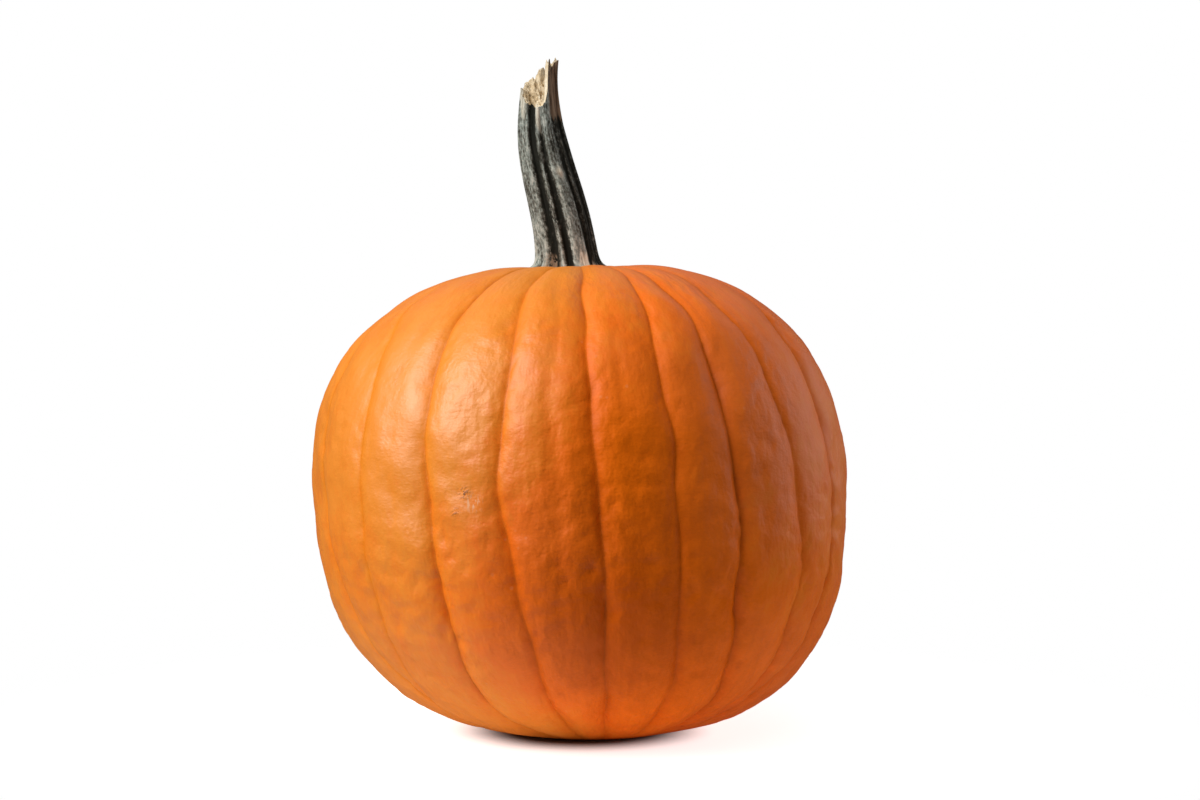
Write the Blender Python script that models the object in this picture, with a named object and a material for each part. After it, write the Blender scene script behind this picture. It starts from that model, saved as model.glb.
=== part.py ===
"""A pumpkin as picked: one ribbed fruit that rests on its base, and the woody stem it was cut with.

Metres, +Z up. The better side of the fruit faces -Y. Directions round the fruit and round the stem are
bearings in degrees, counted from -Y towards +X. The origin is the middle of the bottom of the whole box,
so the fruit rests on the plane z = 0.
"""

from math import pi, radians

import bmesh
import bpy
import numpy as np

COLLECTION = "pumpkin"

# Fruit: side on it is a superellipse, squarer below the widest level than above it
FRUIT_RADIUS = 0.1256
CROWN_RISE = 0.1053         # from the widest level up to the crown
BASE_DROP = 0.1174          # from the widest level down to the lowest point, before it settles flat
CROWN_POWER = 2.27
BASE_POWER = 2.38
SETTLE = 0.0018             # how far the base is pressed flat where it rests
LEAN_BACK = radians(5.0)    # the fruit grew a little tipped, with its crown away from the better side
LEAN_LEFT = radians(1.2)
BASE_DRIFT = 0.0062         # how far the base is drawn to the right, fading upwards
BASE_DRIFT_HEIGHT = 0.026
SHOULDER_DRIFT = 0.0022     # how far the shoulders are drawn to the left
SHOULDER_Z = 0.165
SHOULDER_HEIGHT = 0.050
STEM_HOLLOW_DEPTH = 0.007
STEM_HOLLOW_RADIUS = 0.034
BLOSSOM_DEPTH = 0.0045      # the dimple under the fruit, where the flower was
BLOSSOM_RADIUS = 0.010

# Grooves between the ribs, once round the fruit: (bearing, depth)
GROOVES = [
    (-70.0, 0.0022), (-51.0, 0.0018), (-33.0, 0.0032), (-16.0, 0.0032), (4.5, 0.0036),
    (21.0, 0.0026), (35.0, 0.0032), (52.5, 0.0024), (69.5, 0.0022), (88.0, 0.0030),
    (106.0, 0.0026), (125.0, 0.0032), (142.0, 0.0028), (161.0, 0.0034), (179.0, 0.0028),
    (198.0, 0.0032), (216.0, 0.0026), (235.0, 0.0030), (253.0, 0.0028), (271.0, 0.0026),
]
GROOVE_WIDTH = 0.0045       # how quickly a groove's sharp middle opens out
GROOVE_SHARE = 0.70         # the sharp middle's share of the depth; the rest is the rib's own wide bulge
GROOVE_FADE_TOP = 0.045     # the radius at which the grooves start to close up, towards the stem
GROOVE_END_LOW = 0.034      # the radius at which they have closed, towards the blossom end
GROOVE_FADE_LOW = 0.030
COLUMNS_PER_RIB = 6
FRUIT_RINGS = 32

# Stem: it leans left as it rises, then straightens, and its ridges run down into feet on the crown
STEM_START_Z = 0.206        # the lower end of its middle line, inside the crown before the seat is cut
STEM_TOP_Z = 0.298          # the middle of the broken face
STEM_X = -0.0068
STEM_Y = 0.0085
STEM_LEAN = 0.0135
STEM_LEAN_POWER = 1.25
STEM_RADIUS_LOW = 0.0138
STEM_RADIUS_HIGH = 0.0092
STEM_TWIST = radians(12.0)
RIDGES = [                  # (bearing, height above the stem's mean surface, half width in degrees)
    (-49.0, 0.0016, 17.0), (-7.0, 0.0008, 8.0), (33.0, 0.0016, 18.0), (72.0, 0.0006, 9.0),
    (105.0, 0.0016, 18.0), (138.0, 0.0006, 9.0), (170.0, 0.0016, 17.0), (207.0, 0.0007, 9.0),
    (242.0, 0.0016, 18.0), (276.0, 0.0006, 9.0),
]
TALLEST_RIDGE = 0.0016
FOOT_Z = 0.2155             # the level at which the feet are widest
FOOT_SPREAD = 0.0100        # how far a main ridge's foot reaches out
FOOT_HEIGHT = 0.0060        # how quickly a foot rises into the stem
BREAK_TILT = radians(28.0)  # the broken face drops towards the better side
SPLINTER_BEARING = radians(152.0)
SPLINTER_HALF_WIDTH = radians(24.0)
SPLINTER_HEIGHT = 0.0125
STEM_COLUMNS = 48
STEM_RINGS = 22
CAP_RINGS = 2
SEAT_GAP = 0.0003           # clearance between the stem and the fruit that it sits on

RIND_COLOUR = (0.70, 0.22, 0.035)
STEM_COLOUR = (0.30, 0.29, 0.19)


def empty_the_scene():
    """Removes every object, so that the script always builds on an empty scene."""
    for scene_object in list(bpy.data.objects):
        bpy.data.objects.remove(scene_object, do_unlink=True)


def make_collection(name):
    """Makes a collection in the scene and returns it."""
    collection = bpy.data.collections.new(name)
    bpy.context.scene.collection.children.link(collection)
    return collection


def make_material(name, colour, roughness):
    """Makes a plain Principled material."""
    material = bpy.data.materials.new(name)
    material.use_nodes = True
    shader = material.node_tree.nodes["Principled BSDF"]
    shader.inputs["Base Color"].default_value = (*colour, 1.0)
    shader.inputs["Roughness"].default_value = roughness
    shader.inputs["Metallic"].default_value = 0.0
    return material


def get_points(mesh):
    """Returns a mesh's vertices as an array with one row each."""
    flat = np.empty(len(mesh.vertices) * 3)
    mesh.vertices.foreach_get("co", flat)
    return flat.reshape(-1, 3)


def sphere_to_shape(name, columns, rings, shape):
    """Makes a sphere and moves its vertices to where a shape function puts them.

    The function takes each vertex's bearing, from 0 to a full turn, and its latitude, both in radians.
    """
    builder = bmesh.new()
    bmesh.ops.create_uvsphere(builder, u_segments=columns, v_segments=rings, radius=1.0)
    mesh = bpy.data.meshes.new(name)
    builder.to_mesh(mesh)
    builder.free()
    x, y, z = get_points(mesh).T
    bearing = np.arctan2(x, -y) % (2.0 * pi)
    latitude = np.arcsin(np.clip(z, -1.0, 1.0))
    mesh.vertices.foreach_set("co", shape(bearing, latitude).ravel())
    mesh.update()
    mesh.shade_smooth()
    return mesh


def angle_between(bearing, other):
    """Returns the signed difference between two bearings, from -pi to pi."""
    return (bearing - other + pi) % (2.0 * pi) - pi


def follow_grooves(turn):
    """Turns an even angle round the fruit into a bearing whose columns meet every groove.

    The angle counts ribs: each rib takes the same share of a turn, spread evenly between its two grooves.
    Returns the bearing, and the bearing and depth of the nearest groove.
    """
    count = len(GROOVES)
    first_bearing, first_depth = GROOVES[0]
    closed = GROOVES + [(first_bearing + 360.0, first_depth)]
    bearings, depths = np.array(closed).T
    bearings = np.radians(bearings)
    rib = turn / (2.0 * pi) * count
    nearest = np.round(rib).astype(int)
    return np.interp(rib, np.arange(count + 1), bearings), bearings[nearest], depths[nearest]


def groove_depth(distance, depth, half_rib):
    """Returns how far the rind lies below the ribs' tops at a distance from a groove."""
    sharp = np.exp(-distance / GROOVE_WIDTH)
    bulge = np.clip(1.0 - distance / half_rib, 0.0, 1.0) ** 2
    return depth * (GROOVE_SHARE * sharp + (1.0 - GROOVE_SHARE) * bulge)


def rind_points(turn, latitude, outward):
    """Returns points of the upright fruit about its middle, moved outward by a distance.

    The profile is a superellipse in polar form. Grooves run in along the rind's own normal and close up
    at both ends, and the stem's hollow and the blossom's dimple are smooth bells.
    """
    bearing, groove_bearing, depth = follow_grooves(turn)
    across = np.maximum(np.cos(latitude), 1e-6)
    up = np.sin(latitude)
    upper = up > 0.0
    rise = np.where(upper, CROWN_RISE, BASE_DROP)
    power = np.where(upper, CROWN_POWER, BASE_POWER)
    reach = ((across / FRUIT_RADIUS) ** power + (np.abs(up) / rise) ** power) ** (-1.0 / power)
    radius = reach * across
    height = reach * up
    normal_out = across ** (power - 1.0) / FRUIT_RADIUS ** power
    normal_up = np.sign(up) * np.abs(up) ** (power - 1.0) / rise ** power
    normal_size = np.hypot(normal_out, normal_up)
    fade_top = np.clip(radius / GROOVE_FADE_TOP, 0.0, 1.0) ** 2
    fade_low = np.clip((radius - GROOVE_END_LOW) / GROOVE_FADE_LOW, 0.0, 1.0)
    sideways = radius * np.abs(angle_between(bearing, groove_bearing))
    half_rib = radius * pi / len(GROOVES)
    inward = groove_depth(sideways, depth, half_rib) * np.where(upper, fade_top, fade_low) - outward
    radius = np.maximum(radius - inward * normal_out / normal_size, 0.0)
    height = height - inward * normal_up / normal_size
    hollow = STEM_HOLLOW_DEPTH * np.exp(-(radius / STEM_HOLLOW_RADIUS) ** 2)
    dimple = BLOSSOM_DEPTH * np.exp(-(radius / BLOSSOM_RADIUS) ** 2)
    height = height + np.where(upper, -hollow, dimple)
    return np.stack([radius * np.sin(bearing), -radius * np.cos(bearing), height], axis=1)


def settle(points):
    """Tips the fruit about its middle, lifts it onto the floor, and presses the base flat there.

    The base is then drawn to the right, as an exponential of the height, and the shoulders to the left, as a
    bell, because the fruit grew a little lopsided.
    """
    x, y, z = points.T
    y, z = y * np.cos(LEAN_BACK) + z * np.sin(LEAN_BACK), z * np.cos(LEAN_BACK) - y * np.sin(LEAN_BACK)
    x, z = x * np.cos(LEAN_LEFT) - z * np.sin(LEAN_LEFT), z * np.cos(LEAN_LEFT) + x * np.sin(LEAN_LEFT)
    z = np.maximum(z + BASE_DROP - SETTLE, 0.0)
    x = x + BASE_DRIFT * np.exp(-z / BASE_DRIFT_HEIGHT)
    x = x - SHOULDER_DRIFT * np.exp(-((z - SHOULDER_Z) / SHOULDER_HEIGHT) ** 2)
    return np.stack([x, y, z], axis=1)


def fruit_shape(turn, latitude):
    """Returns the fruit's points, settled on the floor."""
    return settle(rind_points(turn, latitude, 0.0))


def seat_shape(turn, latitude):
    """Returns the points of a fruit that is larger all over by the stem's clearance."""
    return settle(rind_points(turn, latitude, SEAT_GAP))


def ridge_height(bearing):
    """Returns the height of the stem's ridges round its section: one smooth bell for each ridge."""
    height = np.zeros_like(bearing)
    for ridge_bearing, ridge_top, half_width in RIDGES:
        distance = angle_between(bearing, radians(ridge_bearing)) / radians(half_width)
        height += ridge_top * np.exp(-distance ** 2)
    return height


def stem_shape(bearing, latitude):
    """Returns the stem's points: rings carried up its middle line, with a closed cap at each end.

    Each ring is a circle with ridges, which turn a little as they rise and spread into feet at the crown.
    The upper cap is the broken face: a tilted plane with one splinter left standing at its rim.
    """
    total_rings = STEM_RINGS + 2 * CAP_RINGS
    ring = (latitude / pi + 0.5) * total_rings
    along = np.clip((ring - CAP_RINGS) / STEM_RINGS, 0.0, 1.0)
    cap = np.clip(np.minimum(ring, total_rings - ring) / CAP_RINGS, 0.0, 1.0)
    splinter = np.exp(-(angle_between(bearing, SPLINTER_BEARING) / SPLINTER_HALF_WIDTH) ** 2)
    break_z = STEM_TOP_Z + SPLINTER_HEIGHT * splinter * cap ** 3
    break_z -= STEM_RADIUS_HIGH * cap * np.cos(bearing) * np.tan(BREAK_TILT)
    height = STEM_START_Z + (break_z - STEM_START_Z) * along
    ridges = ridge_height(bearing + STEM_TWIST * along)
    foot = np.exp(-np.maximum(height - FOOT_Z, 0.0) / FOOT_HEIGHT)
    radius = STEM_RADIUS_LOW + (STEM_RADIUS_HIGH - STEM_RADIUS_LOW) * along
    radius = (radius + ridges + FOOT_SPREAD * foot * ridges / TALLEST_RIDGE) * cap
    middle_x = STEM_X - STEM_LEAN * np.sin(0.5 * pi * along ** STEM_LEAN_POWER)
    x = middle_x + radius * np.sin(bearing)
    return np.stack([x, STEM_Y - radius * np.cos(bearing), height], axis=1)


def add_object(name, mesh, collection):
    """Adds a mesh to the scene as an object in a collection."""
    scene_object = bpy.data.objects.new(name, mesh)
    collection.objects.link(scene_object)
    return scene_object


def make_fruit(collection):
    """Makes the ribbed fruit."""
    columns = COLUMNS_PER_RIB * len(GROOVES)
    mesh = sphere_to_shape("fruit", columns, FRUIT_RINGS, fruit_shape)
    mesh.materials.append(make_material("rind", RIND_COLOUR, 0.5))
    return add_object("fruit", mesh, collection)


def make_seat_cutter(collection):
    """Makes the hidden, slightly larger fruit that cuts the stem's seat."""
    columns = COLUMNS_PER_RIB * len(GROOVES)
    mesh = sphere_to_shape("stem_seat_cutter", columns, FRUIT_RINGS, seat_shape)
    cutter = add_object("stem_seat_cutter", mesh, collection)
    cutter.hide_render = True
    cutter.display_type = "WIRE"
    return cutter


def make_stem(collection, cutter):
    """Makes the woody stem and cuts it to sit on the crown."""
    mesh = sphere_to_shape("stem", STEM_COLUMNS, STEM_RINGS + 2 * CAP_RINGS, stem_shape)
    mesh.materials.append(make_material("stem", STEM_COLOUR, 0.85))
    stem = add_object("stem", mesh, collection)
    seat = stem.modifiers.new("seat", "BOOLEAN")
    seat.operation = "DIFFERENCE"
    seat.solver = "EXACT"
    seat.object = cutter
    return stem


def centre_on_origin(scene_objects):
    """Slides the objects together until the middle of their joint box is over the origin."""
    points = np.concatenate([get_points(scene_object.data) for scene_object in scene_objects])
    middle = (points.min(axis=0) + points.max(axis=0)) / 2.0
    for scene_object in scene_objects:
        moved = get_points(scene_object.data) - [middle[0], middle[1], 0.0]
        scene_object.data.vertices.foreach_set("co", moved.ravel())
        scene_object.data.update()


def main():
    """Builds the pumpkin."""
    empty_the_scene()
    parts = make_collection(COLLECTION)
    cutters = make_collection("cutters")
    fruit = make_fruit(parts)
    cutter = make_seat_cutter(cutters)
    stem = make_stem(parts, cutter)
    centre_on_origin([fruit, stem, cutter])


main()
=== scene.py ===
"""The looks of a pumpkin: its ribbed rind, its woody stem and the small studio that it stands in.

Laid out as an add-on and run as a script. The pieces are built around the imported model, in metres, +Z up.
Bearings are angles round the fruit or round the stem, counted from -Y, the better side, towards +X.
Latitudes are angles above or below the fruit's widest level. Lengths are in metres, and the angles in the
lists are in degrees.
"""

from math import cos, pi, radians, sin, tan

import bpy
import numpy as np
from bpy.props import FloatProperty, FloatVectorProperty, PointerProperty
from mathutils import Euler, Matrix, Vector


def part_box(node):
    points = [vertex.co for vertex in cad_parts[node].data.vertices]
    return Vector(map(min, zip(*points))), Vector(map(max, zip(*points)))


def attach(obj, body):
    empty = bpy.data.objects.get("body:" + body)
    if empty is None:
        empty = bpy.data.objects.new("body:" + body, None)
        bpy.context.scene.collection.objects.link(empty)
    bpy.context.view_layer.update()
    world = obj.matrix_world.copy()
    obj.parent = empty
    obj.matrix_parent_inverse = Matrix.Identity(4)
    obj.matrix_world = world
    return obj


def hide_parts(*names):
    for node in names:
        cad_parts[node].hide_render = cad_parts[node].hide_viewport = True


bl_info = {
    "name": "Pumpkin",
    "version": (1, 0, 0),
    "blender": (4, 5, 0),
    "location": "3D View > Sidebar > Pumpkin",
    "description": "Builds a whole ribbed pumpkin with its broken stem",
    "category": "Add Mesh",
}

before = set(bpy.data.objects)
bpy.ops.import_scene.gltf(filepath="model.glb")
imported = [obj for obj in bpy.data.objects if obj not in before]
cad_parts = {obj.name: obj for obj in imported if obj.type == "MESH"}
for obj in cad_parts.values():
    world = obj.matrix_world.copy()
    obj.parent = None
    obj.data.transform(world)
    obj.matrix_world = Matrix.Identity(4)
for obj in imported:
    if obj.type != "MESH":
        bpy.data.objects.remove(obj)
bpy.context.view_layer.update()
FRUIT_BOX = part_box("fruit")
STEM_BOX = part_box("stem")

# Grooves that face the better side: depth, then bearing at each of five latitudes
COURSE_LATITUDES = (50, 25, 0, -25, -50)
FRONT_GROOVES = [
    (0.0017, (-76, -72, -69.5, -64.5, -62.5)),
    (0.0016, (-63, -51, -50.5, -52, -60)),
    (0.0036, (-35.5, -33.5, -32.8, -32, -34.5)),
    (0.0034, (-16.5, -14.8, -16.4, -13.6, -13)),
    (0.0034, (2.5, 3.2, 4.3, 4.3, 5)),
    (0.0026, (20, 19.8, 20.9, 20.8, 24.5)),
    (0.0034, (31.5, 33, 35, 36, 43)),
    (0.0022, (46, 47.5, 51.8, 54.5, 57)),
    (0.0022, (72, 64.5, 68.5, 68.5, 64)),
]
# Grooves of the far side: depth and bearing; their courses wander a little by themselves
BACK_GROOVES = [
    (0.0022, 88), (0.0024, 106), (0.0034, 125), (0.0028, 142), (0.0036, 161), (0.0028, 179),
    (0.0034, 198), (0.0026, 216), (0.0032, 235), (0.0022, 253), (0.0016, 271),
]
# Shallow creases on the ribs: depth, width, upper and lower latitude, and bearings at the top, in the middle
# and at the bottom
CREASES = [
    (0.0011, 0.0028, 58, -34, (-5.8, -4.6, -4.9)),
    (0.0006, 0.0030, 48, -26, (8.6, 11.2, 11.6)),
    (0.0005, 0.0028, 6, -30, (29, 29.6, 30)),
    (0.0007, 0.0022, -18, -31, (32.6, 30.4, 27.6)),
    (0.0006, 0.0022, 58, 26, (36.5, 35.5, 36.5)),
    (0.0007, 0.0026, 14, -22, (39.6, 41.5, 43.5)),
    (0.0008, 0.0026, 40, -30, (76, 79.5, 78)),
    (0.0006, 0.0026, 46, -10, (-43.5, -42, -42.5)),
    (0.0005, 0.0026, 20, -44, (-60.5, -60, -61)),
    (0.0007, 0.0028, 52, -30, (114.5, 115.5, 114)),
    (0.0008, 0.0028, 50, -38, (151, 152.5, 151)),
    (0.0007, 0.0028, 44, -20, (188, 189, 190)),
    (0.0008, 0.0028, 54, -32, (226, 225, 226.5)),
    (0.0006, 0.0028, 40, -24, (262, 261, 262.5)),
]
# Scars in the rind: bearing, latitude and size; the first two are pitted and the last one is scratched
SCARS = [(-23.4, -0.4, 0.0024), (-25.4, -4.2, 0.0018), (-21.6, -2.4, 0.0030)]
# Ridges of the stem: bearing at the foot, halfway and at the break, height, half width in degrees, and how
# far its foot reaches
STEM_RIDGES = [
    ((-70, -68, -66), 0.0026, 17, 1.20), ((-40, -42, -42), 0.0025, 11, 0.55),
    ((-6, -12, -6), 0.0020, 8.5, 0.40), ((31, 24, 19), 0.0031, 19, 0.60),
    ((69, 61, 52), 0.0017, 12, 0.45), ((101, 97, 91), 0.0030, 15, 1.25),
    ((133, 130, 126), 0.0017, 10, 0.40), ((166, 163, 159), 0.0028, 16, 1.05),
    ((200, 199, 197), 0.0019, 11, 0.45), ((232, 233, 233), 0.0029, 15, 1.00),
    ((260, 262, 263), 0.0027, 13, 0.45),
]
# Middle line of the stem: height above the foot, sideways place, and radius without the ridges
STEM_COURSE = [
    (0.000, 0.0000, 0.0126), (0.010, -0.0009, 0.0122), (0.020, -0.0024, 0.0116), (0.032, -0.0048, 0.0112),
    (0.044, -0.0079, 0.0107), (0.054, -0.0102, 0.0100), (0.064, -0.0122, 0.0091), (0.072, -0.0131, 0.0082),
    (0.080, -0.0137, 0.0071), (0.086, -0.0136, 0.0066), (0.102, -0.0134, 0.0064),
]
# Broken rim: bearing, and height above its lowest level
BREAK_RIM = [
    (-176, 0.0180), (-170, 0.0150), (-163, 0.0132), (-140, 0.0122), (-120, 0.0108),
    (-100, 0.0094), (-85, 0.0078), (-65, 0.0050), (-45, 0.0022), (-20, 0.0005), (0, 0.0003),
    (12, 0.0010), (22, 0.0034), (28, 0.0072), (31, 0.0150), (34, 0.0222), (37, 0.0228),
    (43, 0.0188), (52, 0.0176), (64, 0.0180), (74, 0.0198), (82, 0.0222), (87, 0.0212),
    (95, 0.0176), (106, 0.0140), (130, 0.0126), (148, 0.0124), (156, 0.0140), (161, 0.0176),
    (170, 0.0184), (177, 0.0174),
]


def angle_between(bearing, other):
    """Gives the signed difference between two bearings in radians, from -pi to pi."""
    return (bearing - other + pi) % (2.0 * pi) - pi


def bell(distance, width):
    """Gives a smooth bell: 1 where the distance is 0, falling off over the width."""
    return np.exp(-((distance / width) ** 2))


def soft_step(value, low, high):
    """Gives 0 below low, 1 above high, and a smooth cubic ramp between them."""
    share = np.clip((value - low) / (high - low), 0.0, 1.0)
    return share * share * (3.0 - 2.0 * share)


def angle_step(angle, low, high):
    """Gives the soft step of an angle in radians, with its two ends in degrees."""
    return soft_step(angle, radians(low), radians(high))


def spot(bearing, latitude, at_bearing, at_latitude, wide, tall):
    """Gives a smooth spot on the fruit: 1 at its middle, with its place and its half widths in degrees."""
    across = bell(angle_between(bearing, radians(at_bearing)), radians(wide))
    return across * bell(latitude - radians(at_latitude), radians(tall))


def waves(points, wavelength, seed, count=28, stretch=(1.0, 1.0, 1.0)):
    """Gives soft random bumps with a mean of 0 and a spread of 1.

    The sum of plane cosine waves in seeded directions, each within a third of one wavelength. Stretch
    makes the bumps longer along an axis.
    """
    rng = np.random.default_rng(seed)
    directions = rng.normal(size=(count, 3))
    directions /= np.linalg.norm(directions, axis=1)[:, None]
    numbers = 2.0 * pi / (wavelength * rng.uniform(0.72, 1.35, count))
    phases = rng.uniform(0.0, 2.0 * pi, count)
    total = np.zeros(points.shape[:-1])
    for direction, number, phase in zip(directions, numbers, phases):
        total += np.cos(points @ (direction * number / np.array(stretch)) + phase)
    return total * np.sqrt(2.0 / count)


def with_poles(grid):
    """Lists a grid's entries, with the mean of its lowest ring before them and of its highest after them."""
    low, high = grid[:1].mean(axis=1), grid[-1:].mean(axis=1)
    return np.concatenate([low, grid.reshape(-1, *grid.shape[2:]), high])


def ring_mesh(name, rings, values, vectors):
    """Makes one closed mesh from a grid of rings, lowest first, closed by a fan of triangles at each pole.

    Each quad joins four neighbours of the grid, and the last column joins the first. A pole is the middle
    of its ring. Values and vectors hold one entry for each grid point and become point attributes.
    """
    rows, columns = rings.shape[:2]
    points = with_poles(rings)
    grid = np.arange(rows * columns).reshape(rows, columns) + 1
    beside = np.roll(grid, -1, axis=1)
    quads = np.stack([grid[:-1], beside[:-1], beside[1:], grid[1:]], axis=-1).reshape(-1, 4)
    low_fan = np.stack([np.zeros(columns, int), beside[0], grid[0]], axis=-1)
    high_fan = np.stack([np.full(columns, len(points) - 1), grid[-1], beside[-1]], axis=-1)
    corners = np.concatenate([quads.ravel(), low_fan.ravel(), high_fan.ravel()])
    sizes = np.concatenate([np.full(len(quads), 4), np.full(2 * columns, 3)])
    mesh = bpy.data.meshes.new(name)
    mesh.vertices.add(len(points))
    mesh.vertices.foreach_set("co", points.astype(np.float32).ravel())
    mesh.loops.add(len(corners))
    mesh.loops.foreach_set("vertex_index", corners.astype(np.int32))
    mesh.polygons.add(len(sizes))
    mesh.polygons.foreach_set("loop_start", np.concatenate([[0], np.cumsum(sizes)[:-1]]).astype(np.int32))
    mesh.update(calc_edges=True)
    for key, value in values.items():
        layer = mesh.attributes.new(key, "FLOAT", "POINT")
        layer.data.foreach_set("value", with_poles(value).astype(np.float32))
    for key, vector in vectors.items():
        layer = mesh.attributes.new(key, "FLOAT_VECTOR", "POINT")
        layer.data.foreach_set("vector", with_poles(vector).astype(np.float32).ravel())
    mesh.shade_smooth()
    return mesh


def add_piece(mesh, material, node):
    """Adds a mesh as a piece of the pumpkin, on the root body, in place of a CAD node."""
    piece = bpy.data.objects.new(mesh.name, mesh)
    bpy.context.scene.collection.objects.link(piece)
    mesh.materials.append(material)
    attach(piece, "root")
    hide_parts(node)


# ---- Materials ----


class Finish:
    """A material under construction, with short calls that add and join its nodes."""

    def __init__(self, name, roughness):
        self.material = bpy.data.materials.new(name)
        self.material.use_nodes = True
        self.tree = self.material.node_tree
        self.shader = self.tree.nodes["Principled BSDF"]
        self.shader.inputs["Roughness"].default_value = roughness

    def put(self, socket, value):
        """Joins a value to a socket, or sets it there if it is plain."""
        if isinstance(value, bpy.types.NodeSocket):
            self.tree.links.new(value, socket)
        else:
            socket.default_value = value

    def node(self, kind, output, inputs, **properties):
        """Adds a node, gives it its properties and its inputs, and gives back one of its outputs."""
        node = self.tree.nodes.new("ShaderNode" + kind)
        for name, value in properties.items():
            setattr(node, name, value)
        for name, value in inputs.items():
            self.put(node.inputs[name], value)
        return node.outputs[output]

    def attribute(self, name, output="Fac"):
        """Reads one of the piece's own point attributes."""
        return self.node("Attribute", output, {}, attribute_name=name)

    def place(self):
        """Reads Object coordinates, in metres."""
        return self.node("TexCoord", "Object", {})

    def noise(self, vector, scale, detail=3.0, roughness=0.5, along=1.0):
        """Adds fractal noise with a number of grains in a metre; along is how much finer it is along Z."""
        if along != 1.0:
            stretch = {0: vector, 1: (1.0, 1.0, along)}
            vector = self.node("VectorMath", "Vector", stretch, operation="MULTIPLY")
        inputs = {"Vector": vector, "Scale": scale, "Detail": detail, "Roughness": roughness}
        return self.node("TexNoise", "Fac", inputs)

    def cells(self, vector, scale):
        """Adds the distance to the middle of each cell of a pattern with a number of cells in a metre."""
        return self.node("TexVoronoi", "Distance", {"Vector": vector, "Scale": scale})

    def maths(self, operation, first, second=0.0, third=0.0):
        """Adds a Math node."""
        return self.node("Math", 0, {0: first, 1: second, 2: third}, operation=operation)

    def times(self, first, second):
        """Multiplies two values."""
        return self.maths("MULTIPLY", first, second)

    def vary(self, value, pattern, strength):
        """Shifts a value up and down with a pattern whose mean is a half."""
        return self.maths("MULTIPLY_ADD", self.maths("SUBTRACT", pattern, 0.5), strength, value)

    def spread(self, value, low, high, new_low=0.0, new_high=1.0):
        """Maps a range smoothly onto another and keeps inside it."""
        inputs = {"Value": value, "From Min": low, "From Max": high, "To Min": new_low, "To Max": new_high}
        return self.node("MapRange", "Result", inputs, interpolation_type="SMOOTHSTEP")

    def ramp(self, value, stops):
        """Colours a value by a list of (position, colour) stops."""
        node = self.tree.nodes.new("ShaderNodeValToRGB")
        self.put(node.inputs["Fac"], value)
        elements = node.color_ramp.elements
        while len(elements) < len(stops):
            elements.new(0.5)
        for element, (position, colour) in zip(elements, stops):
            element.position = position
            element.color = (*colour, 1.0)
        return node.outputs["Color"]

    def mix(self, share, first, second, blend="MIX"):
        """Mixes two colours."""
        first, second = [value if isinstance(value, bpy.types.NodeSocket) else (*value, 1.0)
                         for value in (first, second)]
        return self.node("Mix", 2, {0: share, 6: first, 7: second}, data_type="RGBA", blend_type=blend)

    def bump(self, height, distance, below=None):
        """Adds relief of a height in metres, on top of the relief below it."""
        inputs = {"Strength": 1.0, "Distance": distance, "Height": height}
        if below:
            inputs["Normal"] = below
        return self.node("Bump", "Normal", inputs)

    def surface(self, name, value):
        """Gives the surface one of its properties."""
        self.put(self.shader.inputs[name], value)


def rind_material(settings):
    """Waxy orange rind: mottled and streaked along the ribs, with painted light and shade in its tone,
    painted shade along and in the grooves, and a small scar.
    """
    finish = Finish("rind", settings.roughness)
    skin = finish.attribute("skin", "Vector")
    pits, scratch, cork = finish.attribute("pits"), finish.attribute("scratch"), finish.attribute("cork")
    mottle = finish.noise(skin, 75.0, 4.0, 0.55)
    streak = finish.noise(skin, 260.0, 3.0, 0.5, 0.09)
    grain = finish.noise(skin, 420.0, 3.0, 0.6, 2.2)
    torn = finish.noise(skin, 900.0, 2.0, 0.6, 1.3)
    scratches = finish.noise(skin, 1100.0, 1.0, 0.5, 0.35)
    dents = finish.noise(skin, 210.0, 2.0, 0.5, 0.75)

    # The rind's tone carries painted light and shade: paler and yellower where the lights fall, deeper and
    # darker in the painted shade low on the front, shifted by real mottling and streaks
    tone_and_light = finish.vary(finish.attribute("tone_and_painted_light"), mottle, 0.50)
    tone_and_light = finish.vary(tone_and_light, streak, 0.22)
    tone_and_light = finish.vary(tone_and_light, grain, 0.30)
    # Painted shade: the rind turns deeper and darker towards the grooves
    tone_and_light = finish.maths("MULTIPLY_ADD", finish.attribute("groove"), -0.08, tone_and_light)
    colour = finish.ramp(tone_and_light, [(0.0, settings.deep), (0.50, settings.middle), (1.0, settings.light)])
    # Painted shade: a dark line along the bottom of each groove
    colour = finish.mix(finish.times(finish.attribute("line"), 0.58), colour, settings.fold)
    rare = finish.spread(finish.noise(skin, 38.0, 1.0), 0.60, 0.68)
    speck = finish.times(finish.spread(finish.cells(skin, 150.0), 0.16, 0.07), rare)
    colour = finish.mix(finish.times(speck, 0.10), colour, settings.speck)
    pale = finish.times(finish.spread(scratches, 0.52, 0.60), scratch)
    colour = finish.mix(finish.times(pale, 0.85), colour, settings.speck)
    colour = finish.mix(finish.times(finish.spread(torn, 0.50, 0.57), pits), colour, settings.pit)
    corky = finish.ramp(torn, [(0.3, (0.10, 0.055, 0.025)), (0.7, (0.36, 0.25, 0.14))])
    colour = finish.mix(cork, colour, corky)
    finish.surface("Base Color", colour)

    loss = -0.92 * settings.specular
    specular = finish.maths("MULTIPLY_ADD", finish.attribute("dull"), loss, settings.specular)
    finish.surface("Specular IOR Level", specular)
    rough = finish.vary(settings.roughness, mottle, 0.16)
    rough = finish.maths("MULTIPLY_ADD", cork, 0.4, rough)
    finish.surface("Roughness", rough)
    relief = finish.bump(finish.times(dents, finish.attribute("rough")), settings.dent_depth)
    relief = finish.bump(grain, settings.grain_depth, relief)
    relief = finish.bump(streak, settings.grain_depth * 0.6, relief)
    relief = finish.bump(finish.times(torn, pits), 0.0006, relief)
    finish.surface("Normal", relief)
    return finish.material


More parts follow.
